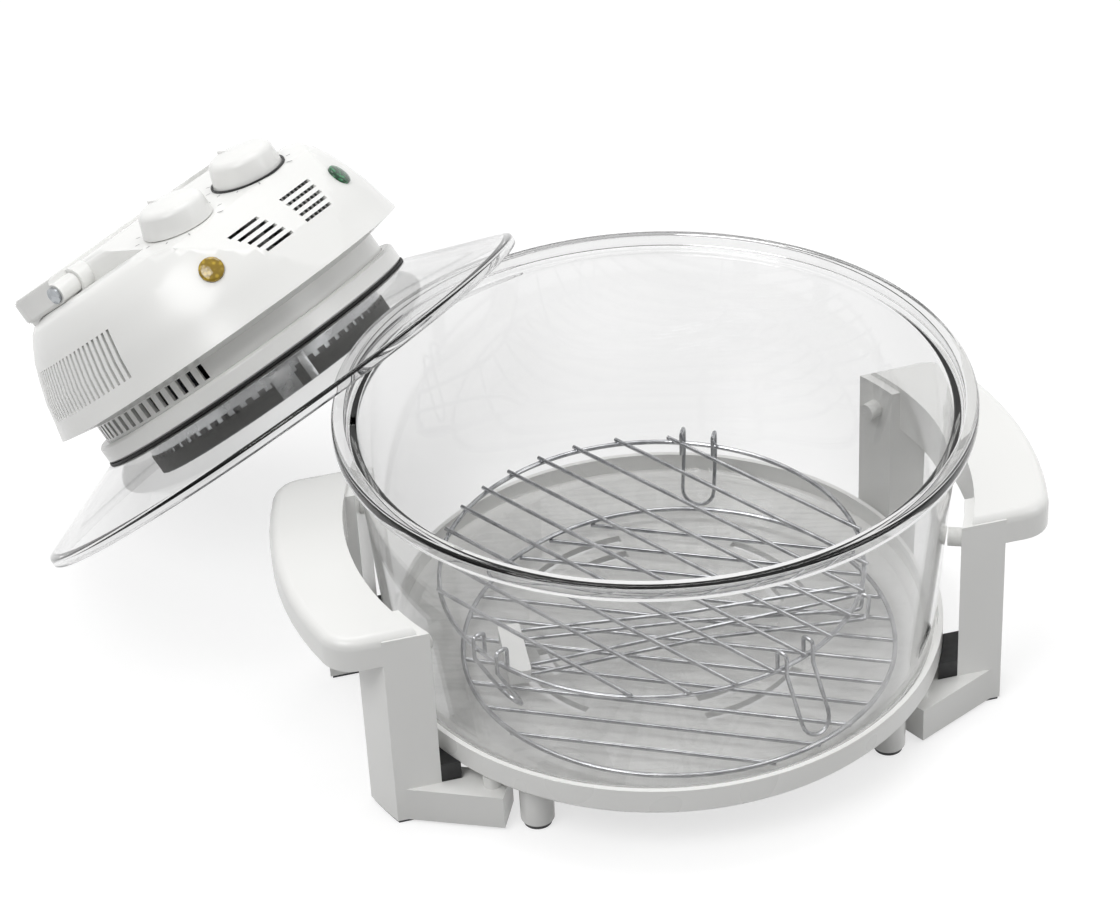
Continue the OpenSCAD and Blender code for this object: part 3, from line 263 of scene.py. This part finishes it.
# The record's material slots, and the one node that has a finish of its own
slotFinish = {
    "white_plastic": mouldedPlastic, "white_rubber": bumperRubber, "grey_rubber": footRubber,
    "black_plastic": blackNylon, "black_seal": sealRubber, "bowl_glass": borosilicate, "lid_glass": temperedGlass,
    "wire_chrome": chromedWire, "steel": zincedSteel, "reflector": spunAluminium, "quartz": quartzTube,
    "ceramic": steatite, "motor_iron": lacqueredIron, "amber": lensMaterials["amber"],
    "green": lensMaterials["green"], "red_plastic": redAcetal,
}
nodeFinish = {"base_tray": bakedEnamel}


def finish(piece, material):
    piece.data.materials.clear()
    piece.data.materials.append(material)


for name, node in nodes.items():
    finish(node, nodeFinish.get(name) or slotFinish[slotOf[name]])
print("materials:", len(bpy.data.materials))


def deselectAll():
    if bpy.context.mode != "OBJECT":
        bpy.ops.object.mode_set(mode="OBJECT")
    bpy.ops.object.select_all(action="DESELECT")


def pick(piece):
    deselectAll()
    piece.select_set(True)
    bpy.context.view_layer.objects.active = piece


def applyAll(piece):
    pick(piece)
    for modifier in list(piece.modifiers):
        bpy.ops.object.modifier_apply(modifier=modifier.name)


def smoothed(piece, angle=30):
    pick(piece)
    bpy.ops.object.shade_smooth_by_angle(angle=math.radians(angle))


def setDown(piece, place):  # puts a piece made about the origin in its place, and leaves its object at the origin
    pick(piece)
    piece.matrix_world = place @ piece.matrix_world
    bpy.ops.object.transform_apply(location=True, rotation=True, scale=True)


def joined(pieces, name):
    pick(pieces[0])
    for piece in pieces[1:]:
        piece.select_set(True)
    bpy.ops.object.join()
    whole = bpy.context.object
    whole.name = name
    whole.data.name = name
    return whole


def standsFor(piece, node):
    finish(piece, nodeFinish.get(node) or slotFinish[slotOf[node]])
    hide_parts(node)
    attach(piece, bodyOf[node])


# A merged copy of a CAD node with its hard edges broken, as a moulded piece has them, or its wire a little thinner
copying = {"mergeMm": 0.02, "flatDegrees": 0.4, "bevelFrom": 40, "segments": 3}


def softened(node, name, edgeMm=0, thinnerMm=0, smoothTo=30):
    pick(nodes[node])
    bpy.ops.object.duplicate()
    piece = bpy.context.object
    piece.name = name
    piece.data.name = name
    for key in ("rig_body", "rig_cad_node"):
        del piece[key]
    piece.parent = None
    bpy.ops.mesh.customdata_custom_splitnormals_clear()
    bpy.ops.object.mode_set(mode="EDIT")
    bpy.ops.mesh.select_all(action="SELECT")
    bpy.ops.mesh.remove_doubles(threshold=copying["mergeMm"] * mm)
    bpy.ops.mesh.dissolve_limited(angle_limit=math.radians(copying["flatDegrees"]))
    bpy.ops.object.mode_set(mode="OBJECT")
    if edgeMm:
        bevel = piece.modifiers.new("brokenEdges", "BEVEL")
        bevel.width = edgeMm * mm
        bevel.segments = copying["segments"]
        bevel.limit_method = "ANGLE"
        bevel.angle_limit = math.radians(copying["bevelFrom"])
        bevel.use_clamp_overlap = True
        applyAll(piece)
    if thinnerMm:
        shrink = piece.modifiers.new("thinnerWire", "DISPLACE")
        shrink.mid_level = 0
        shrink.strength = -thinnerMm * mm
        applyAll(piece)
    smoothed(piece, smoothTo)
    flats = piece.modifiers.new("flatsStayFlat", "WEIGHTED_NORMAL")
    flats.keep_sharp = True
    applyAll(piece)
    standsFor(piece, node)


# Long straight runs get a loop close to each end, so that the shading of a corner stays at the corner.
# In glass this matters most: a slant of half a degree between two walls turns a grazing view dark.
def withEndLoops(profile, longMm=8, inMm=0.6):
    full = [profile[0]]
    for a, b in zip(profile, profile[1:]):
        run = math.dist(a, b)
        if run > longMm:
            full += [(a[0] + (b[0] - a[0]) * s, a[1] + (b[1] - a[1]) * s) for s in (inMm / run, 1 - inMm / run)]
        full.append(b)
    return full


# A vertical profile in mm, drawn point by point from a plane merged to one point, and spun about the axis
def spun(name, profile, steps, mergeMm=0.01):
    deselectAll()
    bpy.ops.mesh.primitive_plane_add(size=2 * mm, location=(0, 0, 0))
    piece = bpy.context.object
    piece.name = name
    piece.data.name = name
    bpy.ops.object.mode_set(mode="EDIT")
    bpy.ops.mesh.select_all(action="SELECT")
    bpy.ops.mesh.merge(type="CENTER")
    bpy.ops.transform.translate(value=(profile[0][0] * mm, 0, profile[0][1] * mm))
    for (r0, z0), (r1, z1) in zip(profile, profile[1:]):
        bpy.ops.mesh.extrude_vertices_move(TRANSFORM_OT_translate={"value": ((r1 - r0) * mm, 0, (z1 - z0) * mm)})
    bpy.ops.mesh.select_all(action="SELECT")
    bpy.ops.mesh.spin(steps=steps, angle=2 * math.pi, center=(0, 0, 0), axis=(0, 0, 1))
    bpy.ops.mesh.select_all(action="SELECT")
    bpy.ops.mesh.remove_doubles(threshold=mergeMm * mm)
    bpy.ops.mesh.normals_make_consistent(inside=False)
    bpy.ops.object.mode_set(mode="OBJECT")
    return piece


def arc(r, z, radius, start, end, steps=6):
    angles = [math.radians(start + (end - start) * k / steps) for k in range(steps + 1)]
    return [(r + radius * math.cos(a), z + radius * math.sin(a)) for a in angles]


# The bowl: its sizes are the CAD bowl's, with the small roundings that pressing and fire polishing leave
bowl = {"bottom": 33, "floor": 38, "footRadius": 147, "fillet": 10, "underFlange": 158, "neckRound": 3, "neckIn": 0.3,
        "flangeZ": 175, "flangeRadius": 167, "underRound": 2, "rimRound": 2.5, "rimZ": 184,
        "seatRadius": 160, "seatZ": 178, "seatRound": 0.8, "lipRound": 1, "insideTop": 154, "insideRound": 1.2,
        "insideFoot": 143, "insideFillet": 6, "steps": 192}
bowlProfile = ([(0, bowl["bottom"])]
               + arc(bowl["footRadius"] - bowl["fillet"], bowl["bottom"] + bowl["fillet"], bowl["fillet"], -90, 0, 10)
               + [(bowl["underFlange"] - bowl["neckIn"], bowl["flangeZ"] - bowl["neckRound"])]
               + arc(bowl["underFlange"] - bowl["neckIn"] + bowl["neckRound"], bowl["flangeZ"] - bowl["neckRound"],
                     bowl["neckRound"], 180, 90)
               + arc(bowl["flangeRadius"] - bowl["underRound"], bowl["flangeZ"] + bowl["underRound"],
                     bowl["underRound"], -90, 0)
               + arc(bowl["flangeRadius"] - bowl["rimRound"], bowl["rimZ"] - bowl["rimRound"], bowl["rimRound"], 0, 90)
               + arc(bowl["seatRadius"] + bowl["lipRound"], bowl["rimZ"] - bowl["lipRound"],
                     bowl["lipRound"], 90, 180, 4)
               + arc(bowl["seatRadius"] - bowl["seatRound"], bowl["seatZ"] + bowl["seatRound"],
                     bowl["seatRound"], 0, -90, 4)
               + arc(bowl["insideTop"] + bowl["insideRound"], bowl["seatZ"] - bowl["insideRound"],
                     bowl["insideRound"], 90, 180, 4)
               + arc(bowl["insideFoot"] - bowl["insideFillet"], bowl["floor"] + bowl["insideFillet"],
                     bowl["insideFillet"], 0, -90, 8)
               + [(0, bowl["floor"])])
glassBowl = spun("glassBowl", withEndLoops(bowlProfile), bowl["steps"])
setDown(glassBowl, homeFrame)
smoothed(glassBowl, angle=40)
standsFor(glassBowl, "glass_bowl")
print("bowl made")

# The lid's glass: a bent sheet with a ground rim. Both faces of the cone stay parallel, and the inner one starts
# at rimWidth in from the edge.
lid = {"inside": 153, "radius": 158.8, "rimWidth": 6, "rimHeight": 5.4, "rimRound": 2, "rimDrop": 1.2, "rimTurn": 66,
       "innerRound": 1, "coneTop": 101, "coneSoft": 1, "height": 28, "hole": 84, "wall": 4, "steps": 192}
slope = (lid["height"] - lid["rimHeight"]) / (lid["radius"] - lid["coneTop"])
drop = lid["wall"] * math.sqrt(1 + slope * slope)
underside = lid["height"] - lid["wall"]
underTop = lid["radius"] - (underside - lid["rimHeight"] + drop) / slope
innerFoot = lid["rimHeight"] + slope * lid["rimWidth"] - drop
lidProfile = (arc(lid["inside"] + lid["innerRound"], lid["innerRound"], lid["innerRound"], 180, 270, 4)
              + arc(lid["radius"] - lid["rimDrop"], lid["rimDrop"], lid["rimDrop"], -90, 0, 4)
              + arc(lid["radius"] - lid["rimRound"], lid["rimHeight"] - lid["rimDrop"], lid["rimRound"],
                    0, lid["rimTurn"], 4)
              + [(lid["coneTop"] + lid["coneSoft"], lid["height"] - slope * lid["coneSoft"]),
                 (lid["coneTop"] - lid["coneSoft"], lid["height"]), (lid["hole"], lid["height"]),
                 (lid["hole"], underside), (underTop, underside), (lid["inside"], innerFoot),
                 (lid["inside"], lid["innerRound"])])
glassLid = spun("glassLid", withEndLoops(lidProfile), lid["steps"])
setDown(glassLid, lidFrame)
smoothed(glassLid, angle=40)
standsFor(glassLid, "glass_lid")
print("lid glass made")

# Moulded and bent pieces keep the CAD's shape: the new piece's name, and what is done to it. edgeMm is the width of
# its broken edges, smoothTo the degrees up to which a crease is smooth, and thinnerMm what comes off a wire's radius.
copies = {
    "left_handle_frame": ("leftHandleFrame", {"edgeMm": 1.2}),
    "right_handle_frame": ("rightHandleFrame", {"edgeMm": 1.2}),
    "tongs_grip": ("tongsGrip", {"edgeMm": 0.8}), "tongs_wires": ("tongsWires", {}),
    # The black tray spacers fill the gap between the tray and the posts, which lies in deep shade: they are partly
    # spacers and partly painted shadow
    "high_rack_legs": ("highRackLegs", {}), "tray_spacers": ("traySpacers", {"edgeMm": 0.5}),
    "post_bumpers": ("postBumpers", {"edgeMm": 0.5}), "base_tray": ("baseTray", {"edgeMm": 0.5}),
    "peg_feet": ("pegFeet", {"edgeMm": 0.6}), "housing_cover": ("housingCover", {"smoothTo": 50}),
    "clamp_ring": ("clampRing", {"edgeMm": 0.4}), "lid_handle": ("lidHandle", {"edgeMm": 1.0}),
    "low_rack": ("lowRack", {"thinnerMm": 0.2}), "high_rack_grid": ("highRackGrid", {"thinnerMm": 0.2}),
}
for node, (name, changes) in copies.items():
    softened(node, name, **changes)
    print("softened", name)

# The black band round the pan, with a row of low teeth between which the air goes out
band = {"inside": 78.05, "outside": 78.95, "bottom": 5.5, "top": 14.5, "tooth": 2.6, "steps": 120}
panBand = spun("panBand", [(band["inside"], band["bottom"]), (band["outside"], band["bottom"]),
                           (band["outside"], band["top"]), (band["inside"], band["top"]),
                           (band["inside"], band["bottom"])], band["steps"])
pick(panBand)
bpy.ops.object.mode_set(mode="EDIT")
bpy.ops.mesh.select_mode(type="FACE")
bpy.ops.mesh.select_all(action="DESELECT")
bpy.ops.object.mode_set(mode="OBJECT")
for face in panBand.data.polygons:
    around = math.degrees(math.atan2(face.center.y, face.center.x)) % 360
    onTop = face.normal.z > 0.9 and face.center.z > (band["bottom"] + band["top"]) / 2 * mm
    face.select = onTop and int(around * band["steps"] / 360) % 2 == 0
bpy.ops.object.mode_set(mode="EDIT")
bpy.ops.mesh.extrude_region_move(TRANSFORM_OT_translate={"value": (0, 0, band["tooth"] * mm)})
bpy.ops.mesh.select_mode(type="VERT")
bpy.ops.object.mode_set(mode="OBJECT")
setDown(panBand, lidFrame)
smoothed(panBand)
finish(panBand, bakedBlack)
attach(panBand, "lid")
print("band toothed:", len(panBand.data.polygons), "faces")


# A small block in mm with its edges broken, shaped about the origin and then moved to its centre
def block(size, centre, edge, segments):
    deselectAll()
    bpy.ops.mesh.primitive_cube_add(size=1, location=(0, 0, 0))
    piece = bpy.context.object
    bpy.ops.object.mode_set(mode="EDIT")
    bpy.ops.mesh.select_all(action="SELECT")
    bpy.ops.transform.resize(value=[s * mm for s in size])
    bpy.ops.mesh.bevel(offset=edge * mm, segments=segments)
    bpy.ops.mesh.select_all(action="SELECT")
    bpy.ops.transform.translate(value=[c * mm for c in centre])
    bpy.ops.object.mode_set(mode="OBJECT")
    return piece


# Two bright straps stand against the band: where each is round the axis, in degrees, and its width in mm
straps = {"inside": 79.05, "thick": 1, "bottom": 5.5, "top": 22.8, "edge": 0.25, "places": ((-120.5, 13), (-109.8, 5))}
strapPieces = []
for around, width in straps["places"]:
    strap = block((straps["thick"], width, straps["top"] - straps["bottom"]),
                  (straps["inside"] + straps["thick"] / 2, 0, (straps["top"] + straps["bottom"]) / 2),
                  straps["edge"], segments=2)
    setDown(strap, lidFrame @ Matrix.Rotation(math.radians(around), 4, "Z"))
    strapPieces.append(strap)
panStraps = joined(strapPieces, "panStraps")
smoothed(panStraps)
finish(panStraps, spunAluminium)
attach(panStraps, "lid")
print("straps set")

# The sloped panel: where the two knobs' axes come out of it, to the left (-1) and the right (1)
panel = {"x": 29, "y": -56, "z": 117, "slope": 18}


def onPanel(side):
    return (lidFrame @ Matrix.Translation(Vector((side * panel["x"], panel["y"], panel["z"])) * mm)
            @ Matrix.Rotation(math.radians(panel["slope"]), 4, "X"))


# The knobs: smooth crowned domes, each with a low rib that points up the panel. The crown's points are shares of the
# flat's radius, and how far below the top each is.
knob = {"gap": 0.4, "radius": 20.5, "foot": 0.7, "grip": 18.9, "shoulder": 5.5, "shoulderZ": 10.2, "shoulderTop": 14.8,
        "crown": ((0.68, 0.5), (0.34, 0.13), (0, 0)), "height": 16, "steps": 96}
rib = {"size": (1.6, 10, 2), "centre": (0, 11.5, 14.9), "edge": 0.5}
flat = knob["grip"] - knob["shoulder"]
rise = knob["shoulderTop"] - knob["shoulderZ"]
knobProfile = ([(0, knob["gap"]), (knob["radius"] - knob["foot"], knob["gap"])]
               + arc(knob["radius"] - knob["foot"], knob["gap"] + knob["foot"], knob["foot"], -60, 0, 3))
for k in range(11):
    tilt = math.radians(9 * k)
    knobProfile.append((flat + knob["shoulder"] * math.cos(tilt), knob["shoulderZ"] + rise * math.sin(tilt)))
knobProfile += [(flat * share, knob["height"] - below) for share, below in knob["crown"]]
for side, node, name in ((-1, "timer_knob", "timerKnob"), (1, "temperature_knob", "temperatureKnob")):
    dome = spun(name, knobProfile, knob["steps"])
    smoothed(dome, angle=40)
    pointer = block(rib["size"], rib["centre"], rib["edge"], segments=3)
    smoothed(pointer, angle=40)
    piece = joined([dome, pointer], name)
    setDown(piece, onPanel(side))
    standsFor(piece, node)
print("knobs turned")

# Ticks round the two knobs: one short bar of ink, drawn again round each dial, every fifth one longer
dial = {"radius": 23.6, "length": 2.6, "width": 0.6, "height": 0.08, "corner": 0.25, "first": -60, "step": 30,
        "count": 11, "longEvery": 5, "long": 1.4}
ticks = []
for side in (-1, 1):
    for k in range(dial["count"]):
        reach = dial["length"] * (dial["long"] if k % dial["longEvery"] == 0 else 1)
        deselectAll()
        bpy.ops.mesh.primitive_plane_add(size=1, location=(0, 0, 0))
        tick = bpy.context.object
        bpy.ops.object.mode_set(mode="EDIT")
        bpy.ops.mesh.select_all(action="SELECT")
        bpy.ops.transform.resize(value=(reach * mm, dial["width"] * mm, 1))
        bpy.ops.mesh.bevel(offset=dial["corner"] * mm, segments=3, affect="VERTICES")
        bpy.ops.mesh.extrude_region_move(TRANSFORM_OT_translate={"value": (0, 0, dial["height"] * mm)})
        bpy.ops.mesh.select_all(action="SELECT")
        bpy.ops.transform.translate(value=((dial["radius"] + reach / 2) * mm, 0, 0))
        bpy.ops.mesh.normals_make_consistent(inside=False)
        bpy.ops.object.mode_set(mode="OBJECT")
        setDown(tick, onPanel(side) @ Matrix.Rotation(math.radians(dial["first"] + dial["step"] * k), 4, "Z"))
        ticks.append(tick)
dialTicks = joined(ticks, "dialTicks")
finish(dialTicks, dialInk)
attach(dialTicks, "lid")
print("dials printed")

# The coil in the lamp: small turns of wire set round the tube's middle, copied from one and each a little slanted.
# The gap, in degrees round the lamp, is where its two ends go into the holder.
coil = {"ringRadius": 60, "z": 14, "turnRadius": 1.8, "wire": 0.35, "turns": 120, "slant": 18, "gap": 40, "middle": 90}
deselectAll()
bpy.ops.mesh.primitive_torus_add(major_radius=coil["turnRadius"] * mm, minor_radius=coil["wire"] * mm,
                                 major_segments=10, minor_segments=5, rotation=(math.pi / 2, 0, 0))
bpy.ops.object.transform_apply(location=True, rotation=True, scale=True)
coilTurns = [bpy.context.object]
for k in range(1, coil["turns"]):
    turn = bpy.data.objects.new("coilTurn", coilTurns[0].data.copy())
    bpy.context.scene.collection.objects.link(turn)
    coilTurns.append(turn)
for k, turn in enumerate(coilTurns):
    around = coil["middle"] + coil["gap"] / 2 + (360 - coil["gap"]) * k / (coil["turns"] - 1)
    setDown(turn, lidFrame @ Matrix.Rotation(math.radians(around), 4, "Z")
            @ Matrix.Translation((coil["ringRadius"] * mm, 0, coil["z"] * mm))
            @ Matrix.Rotation(math.radians(coil["slant"]), 4, "Z"))
lampCoil = joined(coilTurns, "lampCoil")
smoothed(lampCoil, angle=60)
finish(lampCoil, tungsten)
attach(lampCoil, "lid")
print("lamp coil wound")

# The stage: a sheet of white paper, a softly lit room that is white to the camera, and three softboxes.
# The paper has a glow added to it that camera, mirror and glass rays alone see, so that it lights nothing.
floorLook = {"paper": "#ADADAD", "glow": 0.66, "size": 14}
deselectAll()
bpy.ops.mesh.primitive_plane_add(size=floorLook["size"], location=(0, 0, 0))
floor = bpy.context.object
floor.name = "studioFloor"
paperFloor = bpy.data.materials.new("paperFloor")
paperFloor.use_nodes = True
tree = paperFloor.node_tree
tree.nodes.clear()
output = addNode(tree, "OutputMaterial")
rays = addNode(tree, "LightPath")
seen = addNode(tree, "Math", {0: rays.outputs["Is Camera Ray"], 1: rays.outputs["Is Glossy Ray"]}, operation="ADD")
seen = addNode(tree, "Math", {0: seen.outputs[0], 1: rays.outputs["Is Transmission Ray"]},
               operation="ADD", use_clamp=True)
strength = addNode(tree, "Math", {0: seen.outputs[0], 1: floorLook["glow"]}, operation="MULTIPLY")
glow = addNode(tree, "Emission", {"Strength": strength.outputs[0]})
paper = addNode(tree, "BsdfDiffuse", {"Color": fromHex(floorLook["paper"])})
both = addNode(tree, "AddShader", {0: paper.outputs[0], 1: glow.outputs[0]})
tree.links.new(both.outputs[0], output.inputs[0])
finish(floor, paperFloor)

# The room: dark behind the camera, bright towards the backdrop, and half bright above
studio = {"dark": 0.16, "bright": 1.0, "ceiling": 0.62, "backdrop": (0.23, 0.97, 0), "wallTurns": (-0.35, 0.25),
          "ceilingStarts": (0.35, 0.75)}
world = bpy.data.worlds.new("studio")
bpy.context.scene.world = world
world.use_nodes = True
tree = world.node_tree
tree.nodes.clear()
output = addNode(tree, "OutputWorld")
direction = addNode(tree, "TexCoord").outputs["Generated"]
split = addNode(tree, "SeparateXYZ", {0: direction})
toBackdrop = addNode(tree, "VectorMath", {0: direction, 1: studio["backdrop"]}, operation="DOT_PRODUCT")
wall = addNode(tree, "MapRange", {"Value": toBackdrop.outputs["Value"], "From Min": studio["wallTurns"][0],
                                  "From Max": studio["wallTurns"][1], "To Min": studio["dark"],
                                  "To Max": studio["bright"]})
upward = addNode(tree, "MapRange", {"Value": split.outputs["Z"], "From Min": studio["ceilingStarts"][0],
                                    "From Max": studio["ceilingStarts"][1]})
room = addNode(tree, "Mix", {0: upward.outputs[0], 2: wall.outputs[0], 3: studio["ceiling"]}).outputs[0]
rays = addNode(tree, "LightPath")
level = addNode(tree, "Mix", {0: rays.outputs["Is Camera Ray"], 2: room, 3: 1.0}).outputs[0]
sky = addNode(tree, "Background", {"Color": (1, 1, 1, 1), "Strength": level})
tree.links.new(sky.outputs[0], output.inputs[0])

softboxes = {  # place and aim in metres, width and height in metres, power in watts
    "keyLight": ((-1.1, -0.9, 1.9), (0, 0, 0.1), (1.1, 0.9), 18),
    "fillLight": ((1.5, -1.0, 1.2), (0, 0, 0.1), (0.8, 1.2), 6),
    "topLight": ((0.1, 0.6, 2.1), (0, 0, 0.1), (1.6, 0.8), 12),
}
for name, (place, aim, size, power) in softboxes.items():
    lamp = bpy.data.lights.new(name, "AREA")
    lamp.shape = "RECTANGLE"
    lamp.size, lamp.size_y = size
    lamp.energy = power
    holder = bpy.data.objects.new(name, lamp)
    bpy.context.scene.collection.objects.link(holder)
    holder.location = place
    holder.rotation_euler = (Vector(aim) - Vector(place)).to_track_quat("-Z", "Y").to_euler()
    holder.visible_camera = False

view = {"lens": 105.1, "sensor": 36, "near": 0.05, "far": 30, "place": (-0.31695, -1.43878, 1.1142),
        "right": (0.9652, -0.2578, -0.0445), "up": (0.1817, 0.5382, 0.8230), "forward": (0.1882, 0.8024, -0.5663)}
camera = bpy.data.objects.new("camera", bpy.data.cameras.new("camera"))
bpy.context.scene.collection.objects.link(camera)
bpy.context.scene.camera = camera
camera.data.lens = view["lens"]
camera.data.sensor_width = view["sensor"]
camera.data.clip_start, camera.data.clip_end = view["near"], view["far"]
facing = Matrix((view["right"], view["up"], -Vector(view["forward"]))).transposed().to_4x4()
camera.matrix_world = Matrix.Translation(view["place"]) @ facing
bpy.context.scene.view_settings.view_transform = "Standard"
print("stage set")
